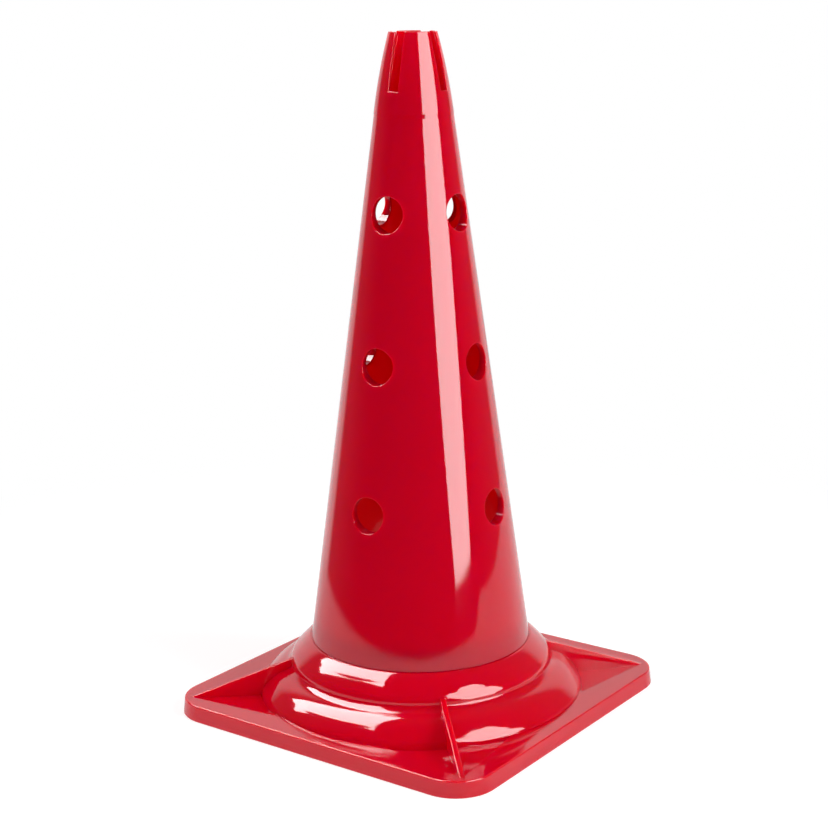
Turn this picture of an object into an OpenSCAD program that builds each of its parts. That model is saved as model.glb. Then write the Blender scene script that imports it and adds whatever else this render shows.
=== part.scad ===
// Training marker cone for ball and running drills: a hollow cone with three rows of
// pole holes and four hoop slots in its neck, snapped onto a square base with two rings.
// Sizes in millimetres, +Z up. The origin is the centre of the base's underside.

/* [Cone] */
// Height of the whole marker, from the ground to the top rim
total_h = 500; // [460:1:560]
// Outer radius of the cone's foot
foot_r = 82.8; // [78:0.1:84]
// Outer radius of the cone where its neck begins
neck_r = 28.8; // [26:0.1:32]
// Outer radius of the top rim
rim_r = 17.6; // [15:0.1:20]
// Height of the neck, from its first step up to the rim
neck_h = 59; // [50:1:70]
// How far the neck's side bows outwards
neck_bow = 0.9; // [0.4:0.1:1.6]
// How far the neck stands out at its first step
neck_step = 0.3; // [0.1:0.05:0.5]
// Wall thickness of the cone
cone_wall = 2.2; // [1.8:0.1:2.6]
// Turn of the cone on its base, in degrees
cone_turn = 2.5; // [0:0.5:8]

/* [Pole holes] */
// Diameter of the pole that the holes take
pole_d = 25; // [20:0.5:27]
// Play of the pole in its holes
pole_play = 1.4; // [0.6:0.1:2]
// Number of rows of holes
hole_rows = 3; // [2:1:3]
// Height of the lowest holes above the cone's foot
first_hole_h = 110; // [80:1:120]
// Distance from the highest holes up to the neck
last_hole_drop = 66.7; // [50:0.1:80]
// How far the lip round each hole stands out behind the wall
lip_depth = 3; // [2:0.1:4]
// Wall thickness of the lips
lip_wall = 1.8; // [1.2:0.1:2.4]

/* [Hoop slots] */
// Width of the slots in the neck
slot_w = 8; // [6:0.5:10]
// Depth of the slots below the rim
slot_h = 40.5; // [30:0.5:45]

/* [Base] */
// Side of the square base at the ground
base_side = 275.4; // [266:0.2:290]
// How far the base's side leans in, from the ground to the plate's top
base_draft = 1.3; // [0.5:0.1:2.5]
// Height of the plate
plate_h = 12; // [10:0.5:16]
// Wall thickness of the base
base_wall = 2.5; // [2:0.1:3]
// Radius of the plate's corners, seen from above
corner_r = 30; // [24:0.5:36]
// Radius of the plate's top edge
edge_r = 1; // [0.5:0.1:2]

/* [Rings] */
// Height of the low ring above the plate
low_ring_h = 16.2; // [14:0.1:19]
// Height of the high ring above the low one, up to the cone's seat
high_ring_h = 23.1; // [21:0.1:26]
// Width of the ledge that shows round the cone's foot
ledge_w = 1; // [0.5:0.1:2]
// Radius of the high ring's swelling below the ledge
brow_r = 46; // [30:1:60]
// Radius of the high ring's shoulder
shoulder_r = 11.8; // [9:0.1:14]
// Height of the upright wall under that shoulder
wall_run = 1; // [0.5:0.1:2]
// Radius of the corner at the foot of that wall
nook_r = 2.7; // [1.5:0.1:4]
// Radius of the hollow between the rings
dish_r = 12; // [9:0.5:15]
// Radius of the low ring's swelling
crown_r = 27; // [22:0.5:30]
// Radius of the low ring's shoulder
low_shoulder_r = 8.5; // [6:0.5:10]

/* [Pockets and ribs] */
// Distance of the pockets' far corners from the base's centre
pocket_r = 124; // [122.5:0.1:126]
// Distance from the pocket's point to the plate's corner
tip_border = 5; // [3.5:0.1:7]
// Depth of the pocket at its point
tip_depth = 0.4; // [0.2:0.1:0.8]
// Depth of the pocket at the low ring
ring_depth = 2.4; // [1.6:0.1:3]
// Thickness of the four ribs
rib_w = 4; // [3:0.1:5]
// Height of the ribs above the low ring, where they meet the high ring's wall
rib_rise = 9; // [6:0.1:10]

/* [Snap joint] */
// Height of the collar that stands inside the cone
collar_h = 15; // [12:0.5:20]
// Wall thickness of the collar
collar_wall = 2.2; // [1.8:0.1:2.6]
// Clearance between the collar and the cone
collar_gap = 0.3; // [0.2:0.05:0.5]
// Height of the snap bead's middle above the seat
bead_rise = 9; // [6:0.5:10]
// How far the bead stands out of the collar
bead_out = 0.6; // [0.4:0.05:0.8]
// Width of the bead
bead_w = 3; // [2:0.1:4]

/* [Hidden] */
$fn = 120;
// Overrun of every cut past the faces that it opens
cut = 5;
// Height of the slanted step at the bottom of the neck
step_run = 3;
// Rounding of the top rim's two edges
rim_round = 0.7;
// Length of each rib past the pocket's point, where it sinks into the plate
rib_tail = 1.5;
// Half the angle that a pocket takes up round the low ring
pocket_half_turn = 21.2;
// Angles from the upright along the rings' side: at the ledge, on both slopes, on the wall,
// where its corner ends, where the low ring begins and at the low ring's foot
brow_lean = 56;
slope_lean = 44;
wall_lean = 8;
nook_lean = 42;
crown_lean = 72;
foot_lean = 10;
// Points along each curve
arc_steps = 8;
bow_steps = 12;
low_ring_top = plate_h + low_ring_h;
seat_z = low_ring_top + high_ring_h;
neck_z = total_h - neck_h;
taper = (foot_r - neck_r) / (neck_z - seat_z);
hole_r = (pole_d + pole_play) / 2;
first_hole_z = seat_z + first_hole_h;
hole_pitch = (neck_z - last_hole_drop - first_hole_z) / (hole_rows - 1);
brow_drop = brow_r * (sin(brow_lean) - sin(slope_lean));
shoulder_drop = shoulder_r * (sin(slope_lean) - sin(wall_lean));
hollow_drop = nook_r * (sin(nook_lean) - sin(wall_lean)) + dish_r * (sin(crown_lean) - sin(nook_lean));
high_slope = high_ring_h - brow_drop - shoulder_drop - wall_run - hollow_drop;
crown_drop = crown_r * (sin(crown_lean) - sin(slope_lean));
low_slope = low_ring_h - crown_drop - low_shoulder_r * (sin(slope_lean) - sin(foot_lean));
ring_line = ring_side(0);
// Radii at the end of the high ring's shoulder and where the low ring meets the plate's top
wall_r = ring_line[2 * arc_steps + 1][0];
ring_edge_r = ring_line[len(ring_line) - 2][0];
half_top = base_side / 2 - base_draft;
corner_c = half_top - corner_r;
tip_r = corner_c * sqrt(2) + corner_r - tip_border;
pocket_tilt = atan((ring_depth - tip_depth) / (tip_r - pocket_r));
rib_slope = (low_ring_top + rib_rise - plate_h) / (tip_r - wall_r);
moulded_red = "#c40a2c";

// Outer radius of the cone's straight side at height z
function side_r(z) = foot_r - (z - seat_z) * taper;

// Half the width of the base at height z, drawn in by g
function half_side(z, g) = base_side / 2 - base_draft * z / plate_h - g;

// Points of an arc about [cr, cz], from angle a0 to a1
function arc(cr, cz, radius, a0, a1) = [
    for (i = [0 : arc_steps])
        let (a = a0 + (a1 - a0) * i / arc_steps)
        [cr + radius * cos(a), cz + radius * sin(a)]
];

// Points of a bowed line from p to q, which stands out to its right by rise
function bow(p, q, rise) =
    let (d = q - p)
    let (out = [d[1], -d[0]] / norm(d))
    [
        for (i = [0 : bow_steps])
            let (t = i / bow_steps)
            p + d * t + out * rise * 4 * t * (1 - t)
    ];

// Points of a rounded stretch of the rings' side below p, as its lean goes from a0 to a1:
// it swells where the radius is positive and is hollow where the radius is negative
function bend(p, radius, a0, a1) = [
    for (i = [1 : arc_steps])
        let (a = a0 + (a1 - a0) * i / arc_steps)
        p + radius * [cos(a) - cos(a0), sin(a) - sin(a0)]
];

// Point at the end of a straight stretch below p
function slope(p, lean, drop) = p + drop * [tan(lean), -1];

// Side of both rings, from the ledge down to the plate and into it, drawn in by g
function ring_side(g) =
    let (ledge = [foot_r + ledge_w - g * cos(brow_lean), seat_z - g * sin(brow_lean)])
    let (brow = bend(ledge, brow_r - g, brow_lean, slope_lean))
    let (high = slope(brow[arc_steps - 1], slope_lean, high_slope))
    let (shoulder = bend(high, shoulder_r - g, slope_lean, wall_lean))
    let (wall = slope(shoulder[arc_steps - 1], wall_lean, wall_run))
    let (nook = bend(wall, -nook_r - g, wall_lean, nook_lean))
    let (dish = bend(nook[arc_steps - 1], -dish_r - g, nook_lean, crown_lean))
    let (crown = bend(dish[arc_steps - 1], crown_r - g, crown_lean, slope_lean))
    let (low = slope(crown[arc_steps - 1], slope_lean, low_slope))
    let (foot = bend(low, low_shoulder_r - g, slope_lean, foot_lean))
    concat(
        [ledge], brow, [high], shoulder, [wall], nook, dish, crown, [low], foot,
        [slope(foot[arc_steps - 1], foot_lean, plate_h / 2)]
    );

// Side of the plate from height low up to its top: rounded outside, plain where drawn in by g
function plate_side(g, low) = concat(
    [[half_side(low, g), low]],
    g > 0
        ? [[half_side(plate_h - g, g), plate_h - g]]
        : arc(half_top - edge_r, plate_h - edge_r, edge_r, 0, 90)
);

// Rounded square block with leaning sides, drawn in by g all round
module plate_block(g, low) {
    side = plate_side(g, low);
    top = plate_h - g;
    across = concat(side, [for (i = [len(side) - 1 : -1 : 0]) [-side[i][0], side[i][1]]]);
    for (turn = [0, 90])
        rotate([90, 0, 90 + turn])
            linear_extrude(height = 2 * corner_c, center = true)
                polygon(across);
    for (turn = [0 : 90 : 270])
        rotate(turn)
            translate([corner_c, corner_c, 0])
                rotate_extrude(angle = 90)
                    polygon(concat([[0, low]], [for (p = side) [p[0] - corner_c, p[1]]], [[0, top]]));
}

// Both rings and the collar as one solid of revolution
module ring_block() {
    collar_top = seat_z + collar_h;
    bead_z = seat_z + bead_rise;
    last = len(ring_line) - 1;
    rotate_extrude()
        polygon(concat(
            [[0, ring_line[last][1]]],
            [for (i = [last : -1 : 0]) ring_line[i]],
            [[collar_r(seat_z), seat_z]],
            bow(
                [collar_r(bead_z - bead_w / 2), bead_z - bead_w / 2],
                [collar_r(bead_z + bead_w / 2), bead_z + bead_w / 2],
                bead_out
            ),
            [[collar_r(collar_top), collar_top], [0, collar_top]]
        ));
}

// Outer radius of the collar at height z: it follows the inside of the cone
function collar_r(z) = side_r(z) - cone_wall - collar_gap;

// Hollow inside the rings and the collar, open at both ends
module ring_hollow() {
    collar_top = seat_z + collar_h;
    under = ring_side(base_wall);
    rotate_extrude()
        polygon(concat(
            [[0, -cut], [under[len(under) - 1][0], -cut]],
            [for (i = [len(under) - 1 : -1 : 0]) under[i]],
            [
                [collar_r(seat_z) - collar_wall, seat_z - base_wall],
                [collar_r(seat_z) - collar_wall, seat_z],
                [collar_r(collar_top) - collar_wall, collar_top],
                [collar_r(collar_top) - collar_wall, collar_top + cut],
                [0, collar_top + cut]
            ]
        ));
}

// Pocket on one diagonal, grown by g all round: its floor sinks from the point to the ring
module pocket(g) {
    reach = tip_r + g * sqrt(2);
    side = [pocket_r * cos(pocket_half_turn) - tip_r, pocket_r * sin(pocket_half_turn) + g];
    difference() {
        translate([reach, 0, plate_h - tip_depth - g])
            rotate([0, -pocket_tilt, 0])
                linear_extrude(height = plate_h)
                    polygon([[0, 0], side, [-reach, 0], [side[0], -side[1]]]);
        translate([0, 0, -cut])
            cylinder(r = ring_edge_r - base_wall / 2 - g, h = low_ring_top + cut);
    }
}

// Rib on one diagonal, from inside the high ring down to the pocket's point
module rib() {
    rotate([90, 0, 0])
        linear_extrude(height = rib_w, center = true)
            polygon([
                [foot_r, plate_h / 2],
                [tip_r + rib_tail, plate_h / 2],
                [tip_r + rib_tail, plate_h - rib_tail * rib_slope],
                [foot_r, plate_h + (tip_r - foot_r) * rib_slope]
            ]);
}

// Repeats a shape on the four diagonals of the base
module on_diagonals() {
    for (turn = [45 : 90 : 315])
        rotate(turn)
            children();
}

// Square base: hollow plate with two rings, corner pockets, ribs and the snap collar
module base() {
    color(moulded_red)
        difference() {
            union() {
                difference() {
                    plate_block(0, 0);
                    on_diagonals() pocket(0);
                }
                ring_block();
                on_diagonals() rib();
            }
            difference() {
                union() {
                    plate_block(base_wall, -cut);
                    ring_hollow();
                }
                on_diagonals() pocket(base_wall);
            }
        }
}

// Wall of the cone before it is pierced, with the snap groove inside its foot
module cone_wall_shell() {
    bead_z = seat_z + bead_rise;
    groove_half = bead_w / 2 + collar_gap;
    step_z = neck_z + step_run;
    step_r = side_r(step_z) + neck_step;
    rotate_extrude()
        polygon(concat(
            [[foot_r, seat_z], [neck_r, neck_z]],
            bow([step_r, step_z], [rim_r, total_h - rim_round], neck_bow),
            arc(rim_r - rim_round, total_h - rim_round, rim_round, 0, 90),
            arc(rim_r - cone_wall + rim_round, total_h - rim_round, rim_round, 90, 180),
            bow([rim_r - cone_wall, total_h - rim_round], [step_r - cone_wall, step_z], -neck_bow),
            [[neck_r - cone_wall, neck_z]],
            bow(
                [side_r(bead_z + groove_half) - cone_wall, bead_z + groove_half],
                [side_r(bead_z - groove_half) - cone_wall, bead_z - groove_half],
                -bead_out
            ),
            [[foot_r - cone_wall, seat_z]]
        ));
}

// Lips that stiffen the four holes of the row at height z, from inside the wall inwards
module hole_lips(z) {
    inner_r = side_r(z) - cone_wall;
    back = sqrt(pow(inner_r, 2) - pow(hole_r, 2)) - lip_depth;
    intersection() {
        for (turn = [0 : 90 : 270])
            translate([0, 0, z])
                rotate([90, 0, turn])
                    translate([0, 0, back])
                        cylinder(r = hole_r + lip_wall, h = foot_r - back);
        translate([0, 0, seat_z])
            cylinder(r1 = foot_r - cone_wall / 2, r2 = neck_r - cone_wall / 2, h = neck_z - seat_z);
    }
}

// Hollow cone, pierced by the rows of pole holes and by two crossed slots in its neck
module cone_body() {
    color(moulded_red)
        rotate(cone_turn)
            difference() {
                union() {
                    cone_wall_shell();
                    for (row = [0 : hole_rows - 1])
                        hole_lips(first_hole_z + row * hole_pitch);
                }
                for (row = [0 : hole_rows - 1], turn = [0, 90])
                    translate([0, 0, first_hole_z + row * hole_pitch])
                        rotate([90, 0, turn])
                            cylinder(r = hole_r, h = 2 * foot_r, center = true);
                for (turn = [0, 90])
                    rotate(turn)
                        translate([-neck_r - cut, -slot_w / 2, total_h - slot_h])
                            cube([2 * (neck_r + cut), slot_w, slot_h + cut]);
            }
}

base();
cone_body();
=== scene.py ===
import math

import bpy
import numpy as np
from mathutils import Matrix, Vector


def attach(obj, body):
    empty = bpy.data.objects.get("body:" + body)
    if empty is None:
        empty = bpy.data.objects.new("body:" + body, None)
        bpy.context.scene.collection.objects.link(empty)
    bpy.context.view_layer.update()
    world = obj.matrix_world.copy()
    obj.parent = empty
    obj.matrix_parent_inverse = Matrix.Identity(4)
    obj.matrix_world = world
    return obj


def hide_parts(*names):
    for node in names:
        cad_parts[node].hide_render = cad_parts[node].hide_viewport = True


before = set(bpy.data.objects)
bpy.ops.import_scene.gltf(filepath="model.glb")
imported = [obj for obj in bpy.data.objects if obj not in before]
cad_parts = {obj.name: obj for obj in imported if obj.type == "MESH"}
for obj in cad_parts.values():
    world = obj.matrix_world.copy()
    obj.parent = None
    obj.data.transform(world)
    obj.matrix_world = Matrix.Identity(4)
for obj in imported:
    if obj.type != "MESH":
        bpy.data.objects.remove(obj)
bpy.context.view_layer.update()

# The marker's own measures are in millimetres, and a mesh in metres
metresPerMm = 0.001
joinsPerMm = 1e4      # points that round to the same ten thousandth of a millimetre are one point
joinShift = 0.0317    # keeps round numbers away from the places where the rounding turns

# The camera stands where it stood for the photograph
camera = {
    "turn": 36.08,        # degrees round the marker, from its front towards its right side
    "distance": 1.2776,   # metres from the cone's axis
    "height": 0.5412,     # metres above the floor
    "pitch": 14.01,       # degrees down
    "roll": -0.73,        # degrees
    "lens": 77.28,        # millimetres, for a sensor of this width
    "sensor": 36,
    "shift": -0.00437,    # share of the frame's width
    "nearest": 0.05, "farthest": 50,
}


def makeCamera(c):
    # Stands on a circle round the marker, looks at its axis and down, then rolls a little
    a, p, r = (math.radians(c[k]) for k in ("turn", "pitch", "roll"))
    ahead = np.array([-math.sin(a), math.cos(a), 0])
    right = np.array([math.cos(a), math.sin(a), 0])
    up = np.array([0, 0, 1.0])
    forward = ahead * math.cos(p) - up * math.sin(p)
    above = up * math.cos(p) + ahead * math.sin(p)
    sideways = right * math.cos(r) + above * math.sin(r)
    upwards = above * math.cos(r) - right * math.sin(r)
    data = bpy.data.cameras.new("photoCamera")
    data.lens = c["lens"]
    data.sensor_width = c["sensor"]
    data.shift_x = c["shift"]
    data.clip_start = c["nearest"]
    data.clip_end = c["farthest"]
    made = bpy.data.objects.new("photoCamera", data)
    bpy.context.scene.collection.objects.link(made)
    place = np.eye(4)
    place[:3, 0], place[:3, 1], place[:3, 2] = sideways, upwards, -forward
    place[:3, 3] = -ahead * c["distance"] + up * c["height"]
    made.matrix_world = Matrix(place.tolist())
    bpy.context.scene.camera = made


makeCamera(camera)
print("camera done")


def sheet(points, normals=None, wrap=False, flip=False):
    # One grid of points, rows by columns: it may close on itself along the rows, or face the other way
    return {"points": points, "normals": normals, "wrap": wrap, "flip": flip}


def turned(points, degrees):
    # The points turned about the Z axis
    a = math.radians(degrees)
    x, y, z = points[..., 0], points[..., 1], points[..., 2]
    return np.stack([x * math.cos(a) - y * math.sin(a), x * math.sin(a) + y * math.cos(a), z], -1)


def unit(v):
    # Each vector divided by its length
    return v / np.maximum(np.linalg.norm(v, axis=-1, keepdims=True), 1e-12)


def cornerNormals(corners, faceOf, faceNormal, faceArea, count, limit):
    # At each corner the area-weighted mean of the faces that meet there and turn less than the limit
    order = np.argsort(corners, kind="stable")
    valence = np.bincount(corners, minlength=count)
    first = np.cumsum(valence) - valence
    place = np.arange(len(corners)) - np.repeat(first, valence)
    table = np.full((count, valence.max()), -1)
    table[corners[order], place] = order
    there = table >= 0
    n = faceNormal[faceOf[table]] * there[..., None]
    w = faceArea[faceOf[table]] * there
    near = np.einsum("vik,vjk->vij", n, n) > math.cos(math.radians(limit))
    mean = np.einsum("vij,vj,vjk->vik", near.astype(float), w, n)
    out = np.zeros((len(corners), 3))
    out[table[there]] = unit(mean[there])
    return out


def makePiece(name, sheets, limit=32):
    # Joins the sheets where their points meet, drops sides of no length, and keeps the normals that a
    # sheet brings
    allPoints, allNormals, quads, before = [], [], [], 0
    for s in sheets:
        p = s["points"]
        rows, cols = p.shape[:2]
        across = cols if s["wrap"] else cols - 1
        i, j = np.meshgrid(np.arange(rows - 1), np.arange(across), indexing="ij")
        k = (j + 1) % cols
        q = np.stack([i * cols + j, i * cols + k, (i + 1) * cols + k, (i + 1) * cols + j], -1)
        q = q.reshape(-1, 4)
        quads.append((q[:, ::-1] if s["flip"] else q) + before)
        allPoints.append(p.reshape(-1, 3))
        n = s["normals"]
        allNormals.append(np.zeros((rows * cols, 3)) if n is None else unit(n).reshape(-1, 3))
        before += rows * cols
    points, given, quads = (np.concatenate(part) for part in (allPoints, allNormals, quads))
    rounded = np.round(points * joinsPerMm + joinShift)
    _, first, joined = np.unique(rounded, axis=0, return_index=True, return_inverse=True)
    joined = joined.reshape(-1)
    spots = points[first] * metresPerMm
    q = joined[quads]
    same = q == np.roll(q, -1, axis=1)
    crossed = (q[:, 0] == q[:, 2]) | (q[:, 1] == q[:, 3])
    whole = (same.sum(1) == 0) & ~crossed
    single = (same.sum(1) == 1) & ~crossed
    # A face with one side of no length becomes the triangle of its other corners
    keep = np.array([[0, 2, 3], [0, 1, 3], [0, 1, 2], [0, 1, 2]])[same[single].argmax(1)]
    trianglesOf = np.take_along_axis(quads[single], keep, 1)
    source = np.concatenate([quads[whole].reshape(-1), trianglesOf.reshape(-1)])
    sizes = np.concatenate([np.full(whole.sum(), 4), np.full(single.sum(), 3)])
    corners = joined[source]
    starts = np.cumsum(sizes) - sizes
    faceOf = np.repeat(np.arange(len(sizes)), sizes)
    a, b, c = (spots[corners[starts + k]] for k in (0, 1, 2))
    d = spots[corners[starts + sizes - 1]]
    cross = np.cross(b - a, c - a) + np.where((sizes == 4)[:, None], np.cross(c - a, d - a), 0)
    area = np.linalg.norm(cross, axis=1)
    normals = cornerNormals(corners, faceOf, unit(cross), area, len(spots), limit)
    own = given[source]
    brought = np.linalg.norm(own, axis=1) > 0.5
    normals[brought] = own[brought]
    mesh = bpy.data.meshes.new(name)
    mesh.vertices.add(len(spots))
    mesh.vertices.foreach_set("co", spots.reshape(-1))
    mesh.loops.add(len(corners))
    mesh.loops.foreach_set("vertex_index", corners.astype(np.int32))
    mesh.polygons.add(len(sizes))
    mesh.polygons.foreach_set("loop_start", starts.astype(np.int32))
    mesh.polygons.foreach_set("loop_total", sizes.astype(np.int32))
    mesh.polygons.foreach_set("use_smooth", np.ones(len(sizes), bool))
    mesh.update(calc_edges=True)
    mesh.validate()
    mesh.normals_split_custom_set(normals.tolist())
    made = bpy.data.objects.new(name, mesh)
    bpy.context.scene.collection.objects.link(made)
    print(name, len(spots), "points", len(sizes), "faces")
    return made


# The cone, with its holes, neck and hoop slots
cone = {
    # wall, and how far the cone is turned on its base
    "footR": 82.8, "neckR": 28.8, "rimR": 17.6, "wall": 2.2, "turn": 2.5,
    "seatZ": 51.3, "neckZ": 441.0, "topZ": 500.0, "stepRun": 3.0, "stepOut": 0.3, "bow": 0.9,
    # pole holes, and the lips round them on the inside
    "holeR": 13.2, "firstHole": 161.3, "pitch": 106.5, "rows": 3, "holeEdge": 0.5,
    "lipDepth": 3.0, "lipWall": 1.8, "lipEdge": 0.4,
    # hoop slots, rounded edges, and the groove for the base's bead
    "slotHalf": 4.0, "slotZ": 459.5, "edge": 0.7, "footEdge": 0.6,
    "grooveZ": 60.3, "grooveHalf": 1.8, "grooveIn": 0.6,
    # steps: a quarter of a hole, a tab, a slot's bottom, then numbers of rows
    "perSide": 28, "tabSteps": 11, "slotSteps": 6,
    "footRows": 9, "shoulderRows": 4, "neckRows": 6, "slotRows": 17, "edgeRows": 5,
    # rows from a cell's border to the hole, outside and inside, and how much they crowd towards it
    "outRows": 14, "outCrowding": 1.5, "inRows": 9, "inCrowding": 1.4,
}
cone["taper"] = (cone["footR"] - cone["neckR"]) / (cone["neckZ"] - cone["seatZ"])


def neckLine():
    # Heights, radii and slopes of the neck: a straight line from the step to the rim, plus a parabola
    # that bows it outwards
    z0, z1 = cone["neckZ"] + cone["stepRun"], cone["topZ"] - cone["edge"]
    r0 = cone["neckR"] - cone["stepRun"] * cone["taper"] + cone["stepOut"]
    r1 = cone["rimR"]
    t = np.linspace(0, 1, 400)    # far finer than the grid that reads it
    length = math.hypot(z1 - z0, r1 - r0)
    rise = cone["bow"] * 4 * t * (1 - t)
    z = z0 + (z1 - z0) * t - (r1 - r0) / length * rise
    r = r0 + (r1 - r0) * t + (z1 - z0) / length * rise
    return z, r, np.gradient(r, z)


neckZs, neckRs, neckSlopes = neckLine()


def coneR(z):
    # Outer radius at height z: straight side, slanted step, bowed neck
    z = np.asarray(z, float)
    side = cone["footR"] - (z - cone["seatZ"]) * cone["taper"]
    upper = np.interp(z, [cone["neckZ"], *neckZs], [cone["neckR"], *neckRs])
    return np.where(z <= cone["neckZ"], side, upper)


def coneSlope(z, part):
    # Change of the radius with height, on the side, the step or the neck
    if part == "side":
        return np.full(np.shape(z), -cone["taper"])
    if part == "step":
        return np.full(np.shape(z), (neckRs[0] - cone["neckR"]) / cone["stepRun"])
    return np.interp(z, neckZs, neckSlopes)


def onCone(theta, z, inset=0.0):
    # Point at angle theta and height z on the cone's surface, or that far inside it
    theta, z = np.broadcast_arrays(theta, z)
    r = coneR(z) - inset
    return np.stack([r * np.cos(theta), r * np.sin(theta), z], -1)


def coneNormal(theta, z, part, way=1):
    # Outward normal of the cone: the radial direction, tilted by the slope
    theta, z = np.broadcast_arrays(theta, z)
    return unit(np.stack([np.cos(theta), np.sin(theta), -coneSlope(z, part)], -1)) * way


def holeCell(zc, zLow, zHigh, turn):
    # One hole and the stretch of wall round it, a quarter of the cone wide. Rows run from the stretch's
    # border in to the hole, over its rounded edge, through the wall, round the lip and out again inside.
    n = cone["perSide"]
    even = np.arange(n) / n
    q = math.radians(45)
    theta = np.concatenate([np.full(n, q), q - 2 * q * even, np.full(n, -q), -q + 2 * q * even])
    rise = (zHigh - zLow) * even
    z = np.concatenate([zLow + rise, np.full(n, zHigh), zHigh - rise, np.full(n, zLow)])
    phi = np.radians(-45 + 90 * np.arange(4 * n) / n)
    c, s = np.cos(phi), np.sin(phi)
    wall = cone["wall"]
    holeR, e, f = cone["holeR"], cone["holeEdge"], cone["lipEdge"]

    def reach(radius, inset):
        # How far out the wall lies, that far from the hole's axis
        return np.sqrt((coneR(zc + radius * s) - inset) ** 2 - (radius * c) ** 2)

    def spot(radius, x):
        # Circle of that radius round the hole's axis, x away from the cone's axis
        return np.stack([x + 0 * phi, radius * c, zc + radius * s], -1)

    def stretch(radius, inset, shares):
        # Blend in angle and height between the border and a circle round the hole
        zi = zc + radius * s
        ti = np.arcsin(radius * c / (coneR(zi) - inset))
        w = shares[:, None]
        return (1 - w) * theta + w * ti, (1 - w) * z + w * zi

    inward = np.stack([0 * phi, -c, -s], -1)
    straight = np.stack([1 + 0 * phi, 0 * phi, 0 * phi], -1)
    shares = 1 - (1 - np.linspace(0, 1, cone["outRows"])) ** cone["outCrowding"]
    ts, zs = stretch(holeR + e, 0, shares)
    points = [onCone(ts, zs)]
    normals = [coneNormal(ts, zs, "side")]
    skin = normals[0][-1]
    for a in np.radians([22.5, 45, 67.5, 90]):
        radius = holeR + e * (1 - math.sin(a))
        points.append(spot(radius, reach(radius, 0) - e * (1 - math.cos(a)))[None])
        normals.append(unit(skin * math.cos(a) + inward * math.sin(a))[None])
    back = math.sqrt((coneR(zc) - wall) ** 2 - holeR ** 2) - cone["lipDepth"]
    points.append(spot(holeR, back + f)[None])
    normals.append(inward[None])
    for a in np.radians([30, 60, 90]):
        points.append(spot(holeR + f * (1 - math.cos(a)), back + f * (1 - math.sin(a)))[None])
        normals.append(unit(inward * math.cos(a) - straight * math.sin(a))[None])
    outside = holeR + cone["lipWall"]
    for a in np.radians([0, 30, 60, 90]):
        points.append(spot(outside - f * (1 - math.sin(a)), back + f * (1 - math.cos(a)))[None])
        normals.append(unit(-straight * math.cos(a) - inward * math.sin(a))[None])
    points.append(spot(outside, reach(outside, wall))[None])
    normals.append(-inward[None])
    points, normals = np.concatenate(points), np.concatenate(normals)
    shares = (1 - np.linspace(0, 1, cone["inRows"])) ** cone["inCrowding"]
    ts, zs = stretch(outside, wall, shares)
    pointsIn, normalsIn = onCone(ts, zs, wall), coneNormal(ts, zs, "side", -1)
    return [sheet(turned(p, turn), turned(n, turn), wrap=True)
            for p, n in ((points, normals), (pointsIn, normalsIn))]


def band(zs, part, inside, swell=None):
    # A ring of the wall between two heights, on the outside or on the inside, pushed out by swell
    n = 4 * cone["perSide"]
    theta = np.radians(-45 + 90 * np.arange(n) / cone["perSide"])[None, :]
    z = np.asarray(zs, float)[:, None]
    inset = cone["wall"] if inside else 0.0
    if swell is not None:
        inset = inset - np.asarray(swell)[:, None]
    points = onCone(theta, z + 0 * theta, inset)
    normals = coneNormal(theta, z + 0 * theta, part, -1 if inside else 1)
    return sheet(points, None if swell is not None else normals, wrap=True, flip=inside)


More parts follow.
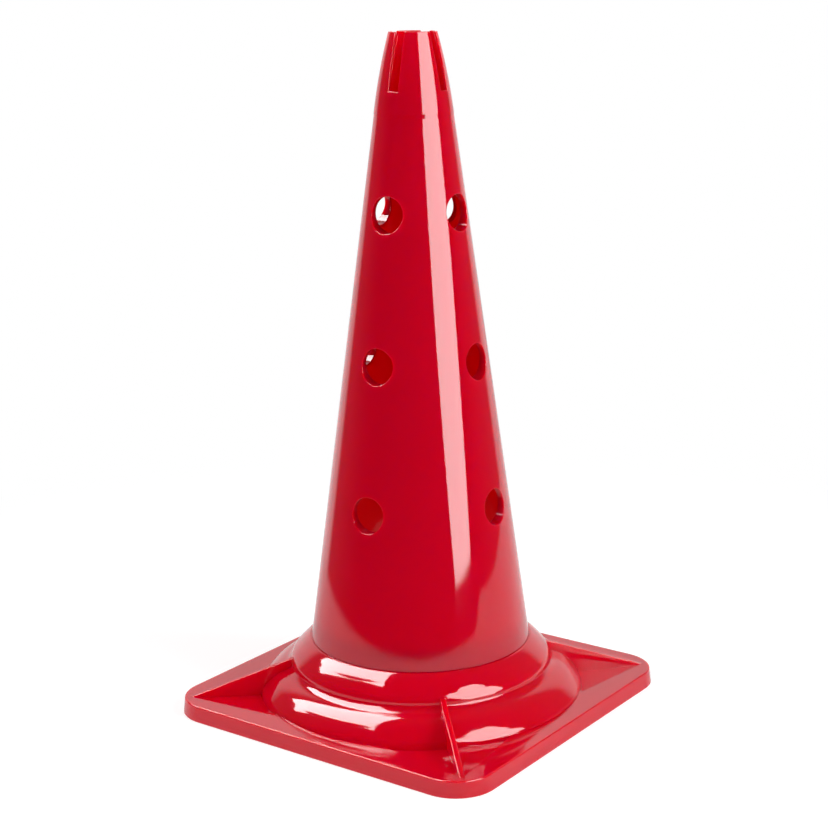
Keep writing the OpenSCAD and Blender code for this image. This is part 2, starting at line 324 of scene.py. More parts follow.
def slotSector(turn):
    # The quarter of the neck round one slot: the wall beside it and below it, and the slot's own faces
    m, k = cone["tabSteps"], cone["slotSteps"]
    e, half, wall = cone["edge"], cone["slotHalf"], cone["wall"]
    q = math.radians(45)
    zTurn, zTop = cone["slotZ"] - e, cone["topZ"] - e
    rise = np.linspace(zTurn, zTop, cone["slotRows"])
    # Steps along the slot's bottom, even in angle
    reachOut = coneR(zTurn) - e
    floorY = reachOut * np.sin(np.linspace(-1, 1, k + 1) * np.arcsin((half + e) / reachOut))
    out = []
    for inside in (False, True):
        inset = wall if inside else 0.0

        def corner(z):
            # Angle at which the rounding of the slot's edge begins
            r = coneR(z) - inset + (e if inside else -e)
            return np.arcsin((half + e) / r)

        zLow = np.linspace(cone["neckZ"] + cone["stepRun"], zTurn, cone["neckRows"])[:, None]
        even = np.linspace(-q, q, 2 * m + k + 1)
        c0 = corner(np.array(zTurn))
        middle = np.arcsin(floorY / (coneR(zTurn) - inset + (e if inside else -e)))
        split = np.concatenate([np.linspace(-q, -c0, m + 1), middle[1:-1], np.linspace(c0, q, m + 1)])
        w = (zLow - zLow[0]) / (zLow[-1] - zLow[0])
        theta = even * (1 - w) + split * w
        way = -1 if inside else 1
        parts = [(theta, zLow + 0 * theta)]
        z = rise[:, None]
        t = np.linspace(0, 1, m + 1)[None, :]
        parts.append((-q + (q - corner(z)) * t, z + 0 * t))
        parts.append((corner(z) + (q - corner(z)) * t, z + 0 * t))
        for theta, zz in parts:
            points, normals = onCone(theta, zz, inset), coneNormal(theta, zz, "neck", way)
            out.append(sheet(turned(points, turn), turned(normals, turn), flip=inside))
    fine = np.linspace(0, 1, cone["edgeRows"])

    def across(y, z, faces, tip, bend):
        # Profile across the wall: round its outer edge, through it and round its inner edge. The rounding
        # blends from the radial direction to the slot's face as an arc does.
        radiusOut, radiusIn = coneR(z) - e, coneR(z) - wall + e
        rows = []
        for radius, way, steps in ((radiusOut, 1, fine), (radiusIn, -1, fine[::-1])):
            x = np.sqrt(radius ** 2 - y ** 2)
            centre = np.stack([x, y, z], -1)
            radial = np.stack([x / radius, y / radius, 0 * y], -1) * way
            spread = np.arccos(np.clip((radial * bend).sum(-1, keepdims=True), -1, 1))
            a = [np.sin((1 - s) * spread) / np.sin(spread) for s in steps]
            b = [np.sin(s * spread) / np.sin(spread) for s in steps]
            for ak, bk in zip(a, b):
                rows.append((centre + e * (ak * radial + bk * faces), unit(ak * radial + bk * tip)))
        return np.stack([r[0] for r in rows], 1), np.stack([r[1] for r in rows], 1)

    # The profile is carried down one side, across the bottom and up the other side
    runs = []
    for way, z in ((1, rise[::-1]), (-1, rise)):
        tip = np.zeros((len(z), 3)) + [0, way, 0]
        faces = tip.copy()
        faces[-1 if way == 1 else 0] = [0, way, 1]
        runs.append((np.full(len(z), -way * (half + e)), z, faces, tip, tip))
    tip = np.zeros((k + 1, 3)) + [0, 0, 1]
    faces, bend = tip.copy(), tip.copy()
    faces[0], faces[-1], bend[0], bend[-1] = [0, 1, 1], [0, -1, 1], [0, 1, 0], [0, -1, 0]
    runs.append((floorY, np.full(k + 1, zTurn), faces, tip, bend))
    for y, z, faces, tip, bend in runs:
        p, n = across(y, z, faces, tip, bend)
        out.append(sheet(turned(p, turn), turned(n, turn), flip=True))
    return out


def tabTop(turn):
    # Top of the tab between this slot and the next one: rows step in round the rim's rounded edge, and a
    # strip closes it
    m, e, half, wall = cone["tabSteps"], cone["edge"], cone["slotHalf"], cone["wall"]
    q = math.radians(45)
    zTop = cone["topZ"] - e
    outerR = float(coneR(np.array(zTop)))
    innerR = outerR - wall
    fine = np.linspace(0, 1, cone["edgeRows"])

    def arc(start):
        # Angles along the tab on one face, from this slot's edge to the next one's
        first = math.asin((half + e) / start)
        t = np.linspace(0, 1, m + 1)
        one = first + (q - first) * t
        two = (-q + (q - first) * t) + 2 * q
        return np.concatenate([one, two[1:]])

    def bend(start, way, towards, back, shrink):
        # Rounded corner about its centre, between the face and the slot's side
        y = -(half + e) if towards else half + e
        x = math.sqrt(start ** 2 - y ** 2)
        radial = np.array([x / start, y / start, 0]) * way
        side = np.array([0, 1.0 if towards else -1.0, 0])
        spread = math.acos(radial @ side)
        steps = fine[::-1] if back else fine
        directions = np.array([
            (math.sin((1 - s) * spread) * radial + math.sin(s * spread) * side) / math.sin(spread)
            for s in steps])
        points = np.array([x, y, 0]) + e * shrink * directions
        if towards:
            points, directions = turned(points, 90), turned(directions, 90)
        return points, directions

    outerA, innerA = arc(outerR - e), arc(innerR + e)
    rows, normals = [], []
    for a in np.radians([0, 22.5, 45, 67.5, 90]):
        shrink = math.cos(a)
        ro, ri = outerR - e + e * shrink, innerR + e - e * shrink
        loopP = [np.stack([ro * np.cos(outerA), ro * np.sin(outerA), 0 * outerA], -1)]
        loopN = [np.stack([np.cos(outerA), np.sin(outerA), 0 * outerA], -1)]
        for start, way, towards, back in ((outerR - e, 1, True, False), (innerR + e, -1, True, True)):
            p, d = bend(start, way, towards, back, shrink)
            loopP.append(p[1:] if way == 1 else p[:-1])
            loopN.append(d[1:] if way == 1 else d[:-1])
        loopP.append(np.stack([ri * np.cos(innerA[::-1]), ri * np.sin(innerA[::-1]), 0 * innerA], -1))
        loopN.append(-np.stack([np.cos(innerA[::-1]), np.sin(innerA[::-1]), 0 * innerA], -1))
        for start, way, towards, back in ((innerR + e, -1, False, False), (outerR - e, 1, False, True)):
            p, d = bend(start, way, towards, back, shrink)
            loopP.append(p[1:] if way == -1 else p[:-1])
            loopN.append(d[1:] if way == -1 else d[:-1])
        p, n = np.concatenate(loopP), np.concatenate(loopN)
        p[:, 2] = zTop + e * math.sin(a)
        rows.append(p)
        normals.append(n * math.cos(a) + np.array([0, 0, math.sin(a)]))
    strip = np.array([
        np.stack([r * np.cos(a), r * np.sin(a), cone["topZ"] + 0 * a], -1)
        for r, a in ((outerR - e, outerA), (innerR + e, innerA))])
    return [sheet(turned(np.array(rows), turn), turned(np.array(normals), turn), wrap=True),
            sheet(turned(strip, turn))]


def makeCone():
    # Foot, three rows of cells with holes, shoulder of the neck, four slots and the tops of the tabs
    half = cone["pitch"] / 2
    zFirst = cone["firstHole"] - half
    zLast = zFirst + cone["rows"] * cone["pitch"]
    sheets = []
    n = 4 * cone["perSide"]
    theta = np.radians(-45 + 90 * np.arange(n) / cone["perSide"])[None, :]
    f, seat = cone["footEdge"], cone["seatZ"]
    a = np.radians(np.linspace(0, 90, cone["edgeRows"]))
    radii = np.concatenate([[coneR(seat) - cone["wall"]], coneR(seat + f) - f + f * np.sin(a)])[:, None]
    heights = np.concatenate([[seat], seat + f - f * np.cos(a)])[:, None]
    foot = np.stack([radii * np.cos(theta), radii * np.sin(theta), heights + 0 * theta], -1)
    sheets.append(sheet(foot, wrap=True))
    sheets.append(band(np.linspace(seat + f, zFirst, cone["footRows"]), "side", False))
    # Inside, a groove with a parabola's hollow takes the base's bead
    g, gh = cone["grooveZ"], cone["grooveHalf"]
    t = np.linspace(0, 1, 7)
    above = np.linspace(g + gh, zFirst, 6)[1:]
    zs = np.concatenate([[seat], g - gh + 2 * gh * t, above])
    swell = np.concatenate([[0], cone["grooveIn"] * 4 * t * (1 - t), 0 * above])
    sheets.append(band(zs, "side", True, swell))
    for turn in (0, 90, 180, 270):
        for row in range(cone["rows"]):
            zc = cone["firstHole"] + row * cone["pitch"]
            sheets += holeCell(zc, zc - half, zc + half, turn)
        sheets += slotSector(turn)
        sheets += tabTop(turn)
    for inside in (False, True):
        sheets.append(band(np.linspace(zLast, cone["neckZ"], cone["shoulderRows"]), "side", inside))
        sheets.append(band([cone["neckZ"], cone["neckZ"] + cone["stepRun"]], "step", inside))
    for s in sheets:
        s["points"] = turned(s["points"], cone["turn"])
        if s["normals"] is not None:
            s["normals"] = turned(s["normals"], cone["turn"])
    return makePiece("coneShell", sheets)


coneShell = makeCone()

# The base: plate, two rings, four pockets with their ribs, hollow underside and collar
base = {
    # plate, heights of both rings, and the seat's ledge round the cone's foot
    "side": 275.4, "draft": 1.3, "plateH": 12.0, "wall": 2.5, "cornerR": 30.0, "edge": 1.0,
    "lowH": 16.2, "highH": 23.1, "ledge": 1.0,
    # radii of the rings' rounded stretches from the top down, and the steep run between the rings
    "brow": 46.0, "shoulder": 11.8, "wallRun": 1.0, "nook": 2.7,
    "dish": 12.0, "crown": 27.0, "lowShoulder": 8.5,
    # leans in degrees where the stretches meet, and how far the two slopes swell
    "browLean": 56.0, "slopeLean": 44.0, "wallLean": 8.0, "nookLean": 42.0,
    "crownLean": 72.0, "footLean": 10.0, "swell": 3.0, "ledgeLean": 54.8,
    # pockets in the corners, and the ribs that cross them
    "pocketR": 124.0, "tipBorder": 5.0, "tipDepth": 0.4, "ringDepth": 2.4,
    "halfTurn": 21.2, "pocketEdge": 0.45,
    "ribHalf": 2.0, "ribRise": 9.0, "ribEdge": 0.5,
    # collar inside the cone, and its snap bead
    "collarH": 15.0, "collarWall": 2.2, "collarEdge": 0.4, "collarGap": 0.3,
    "beadRise": 9.0, "beadOut": 0.6, "beadW": 3.0,
    # columns of an eighth: lines on and beside the rib, then steps over the pocket and over the plain side
    "ribLine": 0.8, "besideRib": (0.3, 0.8, 1.5), "pocketSteps": 14, "plainSteps": 16, "cornerSteps": 8,
    # rows over a pocket's floor and over the plate, their crowding, and where the plain side's rows begin
    "floorRows": 9, "plateRows": 11, "crowding": 2.6, "plainRun": 6.0, "plainColumns": 3,
    # heights of the rows down the plate's side, and how far its lower edge is drawn in
    "sideRows": (7.5, 4.0, 0.5), "footIn": 0.35,
}
base["halfTop"] = base["side"] / 2 - base["draft"]
base["corner"] = base["halfTop"] - base["cornerR"]
base["tipR"] = base["corner"] * math.sqrt(2) + base["cornerR"] - base["tipBorder"]
base["lowTop"] = base["plateH"] + base["lowH"]
base["seat"] = base["lowTop"] + base["highH"]
base["tilt"] = (base["ringDepth"] - base["tipDepth"]) / (base["tipR"] - base["pocketR"])


def fall(*turns):
    # Height lost along rounded stretches: radius times the change of the sine of the lean, from a0 to a1
    return sum(radius * (math.sin(math.radians(a0)) - math.sin(math.radians(a1)))
               for radius, a0, a1 in turns)


def ringProfile(g, ends=None):
    # Side of both rings, drawn in by g: from the seat's edge down to the plate's face, as rounded and
    # straight stretches that each begin where the last one ends. Radius and height of each row's points.
    b = base
    highRun = b["highH"] - b["wallRun"] - fall(
        (b["brow"], b["browLean"], b["slopeLean"]), (b["shoulder"], b["slopeLean"], b["wallLean"]),
        (b["nook"], b["nookLean"], b["wallLean"]), (b["dish"], b["crownLean"], b["nookLean"]))
    lowRun = b["lowH"] - fall(
        (b["crown"], b["crownLean"], b["slopeLean"]), (b["lowShoulder"], b["slopeLean"], b["footLean"]))
    lean = math.radians(b["browLean"])
    edgeR = cone["footR"] + b["ledge"]
    points = [np.array([edgeR - g * math.cos(lean), b["seat"] - g * math.sin(lean)])]

    def bend(radius, a0, a1, steps):
        # Rounded stretch as the lean goes from a0 to a1: hollow where the radius is negative
        start, first = points[-1], math.radians(a0)
        for a in np.radians(np.linspace(a0, a1, steps + 1)[1:]):
            turn = np.array([math.cos(a) - math.cos(first), math.sin(a) - math.sin(first)])
            points.append(start + radius * turn)

    def straight(lean, drop):
        # One step down, out by the tangent of the lean
        points.append(points[-1] + drop * np.array([math.tan(math.radians(lean)), -1]))

    def swell(lean, drop):
        # Nearly straight stretch that swells a little: its lean goes from one side of its mean to the other
        a0, a1 = lean + b["swell"], lean - b["swell"]
        bend(drop / (math.sin(math.radians(a0)) - math.sin(math.radians(a1))), a0, a1, 8)

    lean = b["browLean"]
    if g == 0:
        # The ledge's edge is rounded: from flat to where it meets the swelling below it
        lean = b["ledgeLean"]
        a, c = math.radians(lean), math.radians(b["browLean"])
        meet = points[0] + b["brow"] * np.array([math.cos(a) - math.cos(c), math.sin(a) - math.sin(c)])
        radius = (b["seat"] - meet[1]) / (1 - math.sin(a))
        points[0] = np.array([meet[0] - radius * math.cos(a), b["seat"]])
        bend(radius, 90, lean, 6)
    bend(b["brow"] - g, lean, b["slopeLean"], 10)
    swell(b["slopeLean"], highRun)
    bend(b["shoulder"] - g, b["slopeLean"], b["wallLean"], 18)
    if ends is not None:
        ends["wallR"] = points[-1][0]
    straight(b["wallLean"], b["wallRun"])
    bend(-b["nook"] - g, b["wallLean"], b["nookLean"], 8)
    bend(-b["dish"] - g, b["nookLean"], b["crownLean"], 8)
    bend(b["crown"] - g, b["crownLean"], b["slopeLean"], 14)
    swell(b["slopeLean"], lowRun)
    bend(b["lowShoulder"] - g, b["slopeLean"], b["footLean"], 14)
    straight(b["footLean"], points[-1][1] - (b["plateH"] - g))
    return np.array(points)


base["ringEdge"] = ringProfile(0, base)[-1][0]
base["ribSlope"] = (base["lowTop"] + base["ribRise"] - base["plateH"]) / (base["tipR"] - base["wallR"])


def collarR(z):
    # Outer radius of the collar inside the cone
    return cone["footR"] - (z - base["seat"]) * cone["taper"] - cone["wall"] - base["collarGap"]


def collarProfile():
    # From the underside of the seat up inside the collar, over its top and down its outer side, whose snap
    # bead is a parabola
    seat, top = base["seat"], base["seat"] + base["collarH"]
    bz, bh, w, r = seat + base["beadRise"], base["beadW"] / 2, base["collarWall"], base["collarEdge"]
    t = np.linspace(0, 1, 7)
    z = bz + bh - 2 * bh * t
    bead = np.stack([collarR(z) + base["beadOut"] * 4 * t * (1 - t), z], -1)
    low, high = collarR(seat), collarR(top)
    first = [[low - w, seat - base["wall"]], [low - w, seat], [high - w, top - r], [high - w + r, top],
             [high - r, top], [high, top - r]]
    return np.concatenate([np.array(first), bead, [[low, seat]]])


def columnAngles():
    # First columns of an eighth of the base: their distances from the diagonal, how far the rib's rounded
    # edge has dropped there, and whether they run on the rib
    e, h = base["ribEdge"], base["ribHalf"]
    a = np.radians([0, 30, 60, 90])
    past = np.array([0, *base["besideRib"]])
    beside = np.concatenate([[0, base["ribLine"]], h - e + e * np.sin(a), h + past])
    drop = np.concatenate([[0, 0], e * (1 - np.cos(a)), 0 * past])
    return beside, drop, np.arange(len(beside)) < 2 + len(a)


def baseSheets(turn, mirror):
    # One eighth of the base, from its diagonal to the middle of a side, as a closed run of rows: the collar,
    # the rings, the plate, its side, and the underside on the way back
    beside, drop, onRib = columnAngles()
    fan1, fan2 = base["pocketSteps"], base["plainSteps"]
    edgeAt = len(beside) + fan1    # two columns run down the pocket's side: its foot, and its top here
    count = edgeAt + 1 + fan2
    rib = np.concatenate([onRib, np.zeros(count - len(beside), bool)])
    drop = np.concatenate([drop, np.zeros(count - len(beside))])
    quarter = math.radians(45)
    pocketTurn = math.radians(base["halfTurn"])

    def angles(r, pocketAngle=pocketTurn, at=base["ringEdge"]):
        # Column angles on a circle: fixed distance from the diagonal, then shares of the rest
        near = np.arcsin(beside / r)
        first = math.asin(beside[-1] / at)
        pocket, plain = np.linspace(0, 1, fan1 + 1)[1:], np.linspace(0, 1, fan2 + 1)
        shares = np.concatenate([
            pocket * (pocketAngle - first) / (quarter - first),
            (pocketAngle - first + (quarter - pocketAngle) * plain) / (quarter - first)])
        return np.concatenate([near, near[-1] + (quarter - near[-1]) * shares])

    def ribTop(x):
        # Straight line that falls from the low ring to the pocket's tip, less the rounding of the edge
        return base["plateH"] + (base["tipR"] - x) * base["ribSlope"] - drop

    def ring(r, z, ribbed, pocketAngle=pocketTurn, at=base["ringEdge"]):
        # Row on a circle: where a rib runs over it, it rises to the rib's top
        a = angles(r, pocketAngle, at)
        x, y = r * np.cos(a), r * np.sin(a)
        zz = np.where(rib & ribbed, np.maximum(z, ribTop(x)), z)
        return np.stack([x, y, zz], -1)

    def outline(rho, pocketAngle=pocketTurn):
        # Rounded square: points at distance rho from the square of the corners' centres
        c = base["corner"]
        steps = base["cornerSteps"]
        flatR = base["cornerR"] - base["edge"]
        b0 = math.asin(beside[-1] / flatR)
        corner = np.concatenate([np.arcsin(beside / flatR), np.linspace(b0, quarter, steps + 1)[1:]])
        tMid = (c + rho) * math.tan(quarter - pocketAngle)
        along = np.concatenate([np.linspace(c, tMid, fan1 - steps + 1)[1:], np.linspace(tMid, 0, fan2 + 1)])
        n = np.stack([np.cos(corner), np.sin(corner)], -1)
        centre = np.array([c * math.sqrt(2), 0.0])
        straightN = np.array([math.cos(quarter), math.sin(quarter)])
        alongDirection = np.array([math.cos(quarter), -math.sin(quarter)])
        first = centre + rho * n
        rest = c * straightN + along[:, None] * alongDirection + rho * straightN
        return np.concatenate([first, rest])

    rows = []
    for r, z in collarProfile():
        rows.append(ring(r, z, False))
    for r, z in ringProfile(0):
        rows.append(ring(r, z, True))

    def region(g, startR, pocketAngle, rhoEdge, ribbed):
        # Rows from the ring's foot over the pocket's floor, which falls in a straight line from the tip, up
        # its rounded edge and out over the plate, whose rows crowd towards the pocket
        face = base["plateH"] - g
        reach = base["tipR"] + g * math.sqrt(2)
        a = angles(startR, pocketAngle, startR)
        start = startR * np.stack([np.cos(a), np.sin(a)], -1)
        end = outline(rhoEdge, pocketAngle)
        tipPoint = np.array([reach, 0.0])
        line = np.array([base["pocketR"] * math.cos(pocketTurn) - base["tipR"],
                         base["pocketR"] * math.sin(pocketTurn) + g])
        normal = np.array([-line[1], line[0]])
        run = end - start
        length = np.linalg.norm(run, axis=1)
        share = ((tipPoint - start) @ normal) / (run @ normal)
        index = np.arange(count)
        isPocket = index < edgeAt
        side = share[edgeAt - 1] * length[edgeAt - 1]
        away = np.clip((index - edgeAt) / base["plainColumns"], 0, 1)
        ramp = (side + (base["plainRun"] - side) * away) / length
        share = np.where(isPocket, np.clip(share, 0, 1), ramp)
        bound = start + share[:, None] * run

        def floorZ(p):
            return face - base["tipDepth"] - (reach - p[:, 0]) * base["tilt"]

        def put(p, z):
            # Row over those points, raised to the rib's top where the rib runs
            zz = np.where(rib & ribbed, np.maximum(z, ribTop(p[:, 0])), z)
            return np.concatenate([p, zz[:, None]], -1)

        # The ring's side goes on down to the floor at its last lean, at most half of the way to the edge
        shift = np.where(isPocket, (face - floorZ(start)) * math.tan(math.radians(base["footLean"])), 0)
        floorStart = start + start / startR * np.minimum(shift, 0.5 * share * length)[:, None]
        made = []
        for w in np.linspace(0, 1, base["floorRows"]):
            p = floorStart + (bound - floorStart) * w
            made.append(put(p, np.where(isPocket, floorZ(p), face)))
        lengths = np.linalg.norm(end - bound, axis=1)
        depth = np.where(isPocket, face - floorZ(bound), 0)
        e = np.minimum(base["pocketEdge"], 0.6 * depth) if ribbed else 0 * depth    # no rounding below
        outward = (end - bound) / np.maximum(lengths, 1e-9)[:, None]
        for b in np.radians([90, 60, 30, 0]):
            p = bound + outward * (e * (1 - math.sin(b)))[:, None]
            made.append(put(p, face - e * (1 - math.cos(b))))
        plateFrom = bound + outward * e[:, None]
        for x in np.linspace(0, 1, base["plateRows"])[1:]:
            w = (math.exp(base["crowding"] * x) - 1) / (math.exp(base["crowding"]) - 1)
            p = plateFrom + (end - plateFrom) * w
            made.append(put(p, face))
        return made

    def innerRho(z):
        # Distance of the plate's inner side from the square of the corners' centres, at height z
        return base["side"] / 2 - base["draft"] * z / base["plateH"] - base["wall"] - base["corner"]

    def around(rho, z):
        # Row round the plate at one height
        return np.concatenate([outline(rho), np.full((count, 1), z)], -1)

    rhoTop = base["cornerR"] - base["edge"]
    rows += region(0, base["ringEdge"], pocketTurn, rhoTop, True)
    flat = base["plateH"] - base["edge"]
    for a in np.radians([15, 30, 45, 60, 75, 90]):
        rows.append(around(rhoTop + base["edge"] * math.sin(a), flat + base["edge"] * math.cos(a)))
    for z in base["sideRows"]:
        rows.append(around(base["cornerR"] + base["draft"] * (1 - z / flat), z))
    rows.append(around(base["cornerR"] + base["draft"] - base["footIn"], 0))
    rows.append(around(innerRho(0), 0))
    g = base["wall"]
    underSide = ringProfile(g)
    underR = underSide[-1][0]
    underTurn = math.atan2(base["pocketR"] * math.sin(pocketTurn) + g,
                           base["pocketR"] * math.cos(pocketTurn) + g * math.sqrt(2))
    rows += region(g, underR, underTurn, innerRho(base["plateH"] - g), False)[::-1]
    for r, z in underSide[::-1]:
        rows.append(ring(r, z, False, underTurn, underR))
    rows.append(ring(collarR(base["seat"]) - base["collarWall"], base["seat"] - g, False))
    points = np.array(rows)
    if mirror:
        points = points * [1, -1, 1]
    return sheet(turned(points, turn), flip=not mirror)


def makeBase():
    # Eight eighths, each the mirror image of its neighbours
    sheets = [baseSheets(turn, mirror) for turn in (45, 135, 225, 315) for mirror in (False, True)]
    return makePiece("baseShell", sheets)


baseShell = makeBase()

for piece, node, finish in (
        (coneShell, "cone_body", "cone_plastic"), (baseShell, "base", "base_plastic")):
    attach(piece, "root")
    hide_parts(node)


def newMaterial(name):
    made = bpy.data.materials.new(name)
    made.use_nodes = True
    return made, made.node_tree.nodes, made.node_tree.links


def redPlastic(name, s):
    # Glossy moulded plastic: a deep red with slow flow marks, a slightly wavy skin, fine grain and dull
    # specks. Light goes a little way into it.
    made, nodes, links = newMaterial(name)
    shader = nodes["Principled BSDF"]
    coords = nodes.new("ShaderNodeTexCoord")

    def noise(scale, detail):
        node = nodes.new("ShaderNodeTexNoise")
        node.inputs["Scale"].default_value = scale
        node.inputs["Detail"].default_value = detail
        links.new(coords.outputs["Object"], node.inputs["Vector"])
        return node.outputs["Fac"]

    def bump(height, depth):
        node = nodes.new("ShaderNodeBump")
        node.inputs["Strength"].default_value = 1
        node.inputs["Distance"].default_value = depth
        links.new(height, node.inputs["Height"])
        return node

    shader.inputs["IOR"].default_value = s["bending"]
    shader.inputs["Subsurface Weight"].default_value = s["through"]
    shader.inputs["Subsurface Radius"].default_value = s["throughColours"]
    shader.inputs["Subsurface Scale"].default_value = s["throughDepth"]
    tint = nodes.new("ShaderNodeMix")
    tint.data_type = "RGBA"
    tint.inputs["A"].default_value = (*s["deep"], 1)
    tint.inputs["B"].default_value = (*s["bright"], 1)
    links.new(noise(s["flowScale"], 3), tint.inputs["Factor"])
    links.new(tint.outputs["Result"], shader.inputs["Base Color"])
    rough = nodes.new("ShaderNodeMapRange")
    rough.inputs["From Min"].default_value = s["speckFrom"]
    rough.inputs["From Max"].default_value = s["speckTo"]
    rough.inputs["To Min"].default_value = s["smooth"]
    rough.inputs["To Max"].default_value = s["dull"]
    links.new(noise(s["speckScale"], 4), rough.inputs["Value"])
    links.new(rough.outputs["Result"], shader.inputs["Roughness"])
    waves = bump(noise(s["waveScale"], 1), s["waveDepth"])
    grain = bump(noise(s["grainScale"], 2), s["grainDepth"])
    links.new(waves.outputs["Normal"], grain.inputs["Normal"])
    links.new(grain.outputs["Normal"], shader.inputs["Normal"])
    return made


# Scales of the patterns per metre, depths in metres
conePlastic = {
    "deep": (0.50, 0.0004, 0.0135), "bright": (0.56, 0.0008, 0.0160), "flowScale": 9,
    "speckScale": 60, "speckFrom": 0.35, "speckTo": 0.75, "smooth": 0.035, "dull": 0.06, "bending": 1.5,
    "through": 1.0, "throughDepth": 0.0145, "throughColours": (1.0, 0.06, 0.08),
    "waveScale": 14, "waveDepth": 0.00005, "grainScale": 900, "grainDepth": 0.000004,
}
basePlastic = dict(conePlastic, smooth=0.04, dull=0.08, waveDepth=0.00002, grainDepth=0.000006)
coneShell.data.materials.append(redPlastic("conePlastic", conePlastic))
baseShell.data.materials.append(redPlastic("basePlastic", basePlastic))
print("materials done")

# Floor, backdrop, light boxes and lamps. Turn and lift are degrees, as towards() takes them.
studio = {
    # the floor, and how bright it is made for the camera away from the marker
    "floorSize": 12.0, "floorZ": -0.0004, "floorGlow": 0.35, "floorColour": 0.62,
    "whiteGlow": 0.55, "whiteFrom": 0.3, "whiteTo": 0.7,
    # the white sheet under the marker, as its mirror images see it: a disc, and a strip to its right
    "sheetCentre": (0.03, -0.07, 0), "sheetR": 0.58, "sheetSoft": 0.04,
    "stripFront": -0.36, "stripRight": 0.85,
    # strength of the world's light on everything, and of the backdrop in mirror images: where it begins and
    # ends behind the marker, and from what strength to what strength it goes
    "evenLight": 0.35, "backdrop": ((-0.3, 0.5, 0.004, 0.12), (0.60, 0.70, 0.0, 0.88)),
    # corners of the light boxes, how far they stand, what height they face and how they glow
    "panelDistance": 2.6, "aim": 0.25,
    "keyCorners": ((40, -7.2), (61, -7.2), (73, 6), (75, 40), (66, 52), (48, 54), (30, 46), (23, 30),
                   (24.5, 14)),
    "topCorners": ((-111, 26), (-125, 27.2), (180, 65.2), (-51, 57.5)),
    "keyGlow": 10.0, "topGlow": 15.0,
    # lamps: turn, lift, distance, size, power
    "lamps": {"keyLamp": (60, 28, 2.4, 1.2, 42), "leftLamp": (-95, 35, 2.6, 1.4, 30),
              "frontLamp": (-10, 30, 2.8, 1.6, 17)},
}


def towards(turn, lift):
    # Direction from the marker: turn is measured from the camera's side, positive to the right, and lift
    # is the angle above the floor
    a = math.radians(camera["turn"] + turn)
    e = math.radians(lift)
    return np.array([math.sin(a) * math.cos(e), -math.cos(a) * math.cos(e), math.sin(e)])


def addLamp(name, turn, lift, distance, size, power):
    # Soft square lamp that lights the marker and isn't mirrored in it
    data = bpy.data.lights.new(name, "AREA")
    data.shape = "SQUARE"
    data.size = size
    data.energy = power
    made = bpy.data.objects.new(name, data)
    bpy.context.scene.collection.objects.link(made)
    target = np.array([0, 0, studio["aim"]])
    place = towards(turn, lift) * distance + target
    made.location = place
    made.rotation_euler = Vector(target - place).to_track_quat("-Z", "Y").to_euler()
    made.visible_glossy = False


def panelSheet(name, corners, distance, glow):
    # Flat light box, seen only in the marker's mirror images. It faces the marker from the mean of its
    # corners' directions, and each corner lies where its direction meets that plane.
    directions = np.array([towards(*corner) for corner in corners])
    facing = unit(directions.sum(0))
    spots = directions * (distance / (directions @ facing))[:, None] + np.array([0, 0, studio["aim"]])
    mesh = bpy.data.meshes.new(name)
    mesh.from_pydata(spots.tolist(), [], [list(range(len(spots)))])
    made = bpy.data.objects.new(name, mesh)
    bpy.context.scene.collection.objects.link(made)
    made.visible_camera = False
    made.visible_diffuse = False
    made.visible_shadow = False
    made.visible_transmission = False
    made.visible_volume_scatter = False
    material, nodes, links = newMaterial(name)
    nodes.clear()
    light = nodes.new("ShaderNodeEmission")
    light.inputs["Strength"].default_value = glow
    end = nodes.new("ShaderNodeOutputMaterial")
    links.new(light.outputs["Emission"], end.inputs["Surface"])
    mesh.materials.append(material)


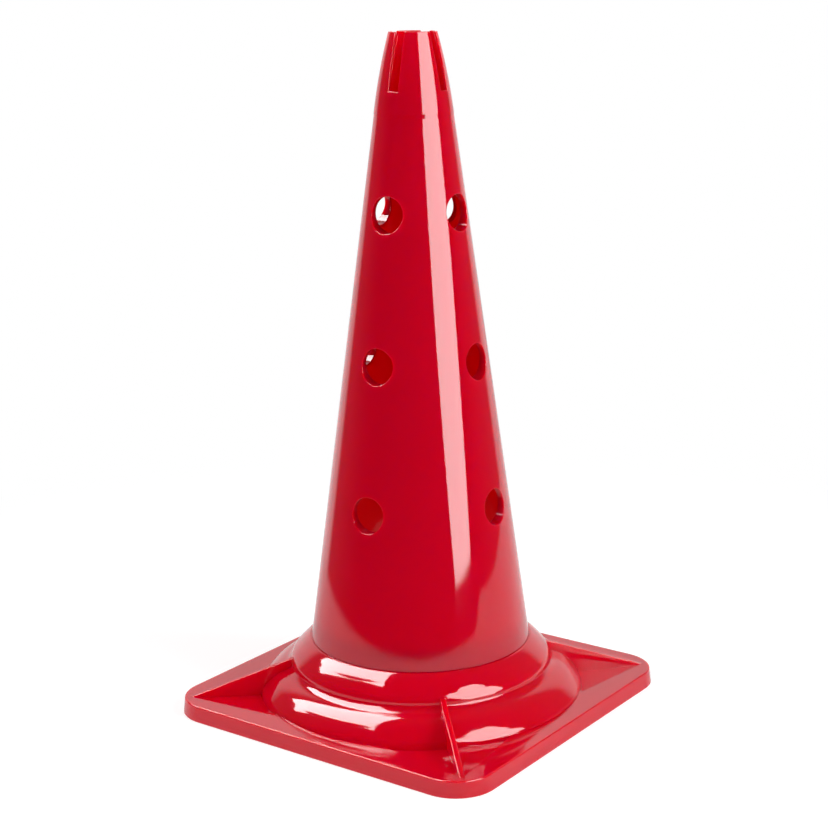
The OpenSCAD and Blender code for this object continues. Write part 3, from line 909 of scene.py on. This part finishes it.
def makeFloor(s):
    # Wide pale floor that keeps the marker's shadow. Its axes follow the camera: X to the right, Y away from
    # it. The marker's mirror images see the white sheet alone, and past its edges what the world shows.
    mesh = bpy.data.meshes.new("floor")
    h, z = s["floorSize"] / 2, s["floorZ"]
    mesh.from_pydata([(-h, -h, z), (h, -h, z), (h, h, z), (-h, h, z)], [], [(0, 1, 2, 3)])
    made = bpy.data.objects.new("floor", mesh)
    made.rotation_euler = (0, 0, math.radians(camera["turn"]))
    bpy.context.scene.collection.objects.link(made)
    material, nodes, links = newMaterial("paleFloor")
    nodes.clear()

    def joined(operation, one, two):
        # One sum or product of two values, or of a value and a number
        node = nodes.new("ShaderNodeMath")
        node.operation = operation
        for socket, value in zip(node.inputs, (one, two)):
            if isinstance(value, float):
                socket.default_value = value
            else:
                links.new(value, socket)
        return node.outputs["Value"]

    def ramp(value, low, high):
        # Smooth step from 0 at low to 1 at high
        node = nodes.new("ShaderNodeMapRange")
        node.interpolation_type = "SMOOTHSTEP"
        node.inputs["From Min"].default_value = low
        node.inputs["From Max"].default_value = high
        links.new(value, node.inputs["Value"])
        return node.outputs["Result"]

    def steps(value, edge):
        return ramp(value, edge - s["sheetSoft"], edge + s["sheetSoft"])

    def measured(operation, other=None):
        # Length of the place on the floor, or its distance from another place
        node = nodes.new("ShaderNodeVectorMath")
        node.operation = operation
        links.new(coords.outputs["Object"], node.inputs[0])
        if other is not None:
            node.inputs[1].default_value = other
        return node.outputs["Value"]

    def mixed(share, one, two):
        node = nodes.new("ShaderNodeMixShader")
        links.new(share, node.inputs["Fac"])
        links.new(one, node.inputs[1])
        links.new(two, node.inputs[2])
        return node.outputs["Shader"]

    coords = nodes.new("ShaderNodeTexCoord")
    spread = nodes.new("ShaderNodeSeparateXYZ")
    links.new(coords.outputs["Object"], spread.inputs["Vector"])
    path = nodes.new("ShaderNodeLightPath")
    toCamera = path.outputs["Is Camera Ray"]
    # The sheet: inside the disc, or behind the strip's front edge and between its two ends
    disc = joined("SUBTRACT", 1.0, steps(measured("DISTANCE", s["sheetCentre"]), s["sheetR"]))
    strip = joined("MULTIPLY", steps(spread.outputs["Y"], s["stripFront"]),
                   ramp(spread.outputs["X"], 0.0, s["sheetSoft"]))
    strip = joined("MULTIPLY", strip, joined("SUBTRACT", 1.0, steps(spread.outputs["X"], s["stripRight"])))
    solid = joined("MAXIMUM", joined("MAXIMUM", disc, strip), toCamera)
    solid = joined("MAXIMUM", solid, path.outputs["Is Diffuse Ray"])
    # The floor's own look: pale paint with a little glow, more of it for the camera
    paint = nodes.new("ShaderNodeBsdfDiffuse")
    paint.inputs["Color"].default_value = (s["floorColour"],) * 3 + (1,)
    glow = nodes.new("ShaderNodeEmission")
    extra = joined("MULTIPLY", toCamera, s["whiteGlow"] - s["floorGlow"])
    links.new(joined("ADD", extra, s["floorGlow"]), glow.inputs["Strength"])
    pale = nodes.new("ShaderNodeAddShader")
    links.new(paint.outputs["BSDF"], pale.inputs[0])
    links.new(glow.outputs["Emission"], pale.inputs[1])
    clear = nodes.new("ShaderNodeBsdfTransparent")
    near = mixed(solid, clear.outputs["BSDF"], pale.outputs["Shader"])
    # Far from the marker the camera sees plain white
    white = nodes.new("ShaderNodeEmission")
    far = joined("MULTIPLY", ramp(measured("LENGTH"), s["whiteFrom"], s["whiteTo"]), toCamera)
    end = nodes.new("ShaderNodeOutputMaterial")
    links.new(mixed(far, near, white.outputs["Emission"]), end.inputs["Surface"])
    mesh.materials.append(material)


def makeWorld(s):
    # White to the camera; to the marker's mirror images a white backdrop behind it and a dark room in front
    world = bpy.data.worlds.new("studio")
    bpy.context.scene.world = world
    world.use_nodes = True
    nodes, links = world.node_tree.nodes, world.node_tree.links
    nodes.clear()
    path = nodes.new("ShaderNodeLightPath")
    coords = nodes.new("ShaderNodeTexCoord")
    # Cosine of the angle between a direction and straight ahead of the camera
    ahead = nodes.new("ShaderNodeVectorMath")
    ahead.operation = "DOT_PRODUCT"
    ahead.inputs[1].default_value = -towards(0, 0)
    links.new(coords.outputs["Generated"], ahead.inputs[0])
    behind = nodes.new("ShaderNodeMath")
    behind.operation = "ADD"
    for socket, (low, high, least, most) in zip(behind.inputs, s["backdrop"]):
        ramp = nodes.new("ShaderNodeMapRange")
        ramp.inputs["From Min"].default_value = low
        ramp.inputs["From Max"].default_value = high
        ramp.inputs["To Min"].default_value = least
        ramp.inputs["To Max"].default_value = most
        links.new(ahead.outputs["Value"], ramp.inputs["Value"])
        links.new(ramp.outputs["Result"], socket)
    soft = nodes.new("ShaderNodeMix")    # even light for everything but mirror images
    soft.inputs["A"].default_value = s["evenLight"]
    links.new(path.outputs["Is Glossy Ray"], soft.inputs["Factor"])
    links.new(behind.outputs["Value"], soft.inputs["B"])
    seen = nodes.new("ShaderNodeMath")
    seen.operation = "MAXIMUM"
    links.new(path.outputs["Is Camera Ray"], seen.inputs[0])
    links.new(path.outputs["Is Transmission Ray"], seen.inputs[1])
    strength = nodes.new("ShaderNodeMix")
    strength.inputs["B"].default_value = 1.0
    links.new(seen.outputs["Value"], strength.inputs["Factor"])
    links.new(soft.outputs["Result"], strength.inputs["A"])
    back = nodes.new("ShaderNodeBackground")
    back.inputs["Color"].default_value = (1, 1, 1, 1)
    links.new(strength.outputs["Result"], back.inputs["Strength"])
    end = nodes.new("ShaderNodeOutputWorld")
    links.new(back.outputs["Background"], end.inputs["Surface"])


makeFloor(studio)
makeWorld(studio)
panelSheet("keyPanel", studio["keyCorners"], studio["panelDistance"], studio["keyGlow"])
panelSheet("topPanel", studio["topCorners"], studio["panelDistance"], studio["topGlow"])
for lamp, values in studio["lamps"].items():
    addLamp(lamp, *values)

scene = bpy.context.scene
scene.view_settings.view_transform = "Standard"
print("studio done")
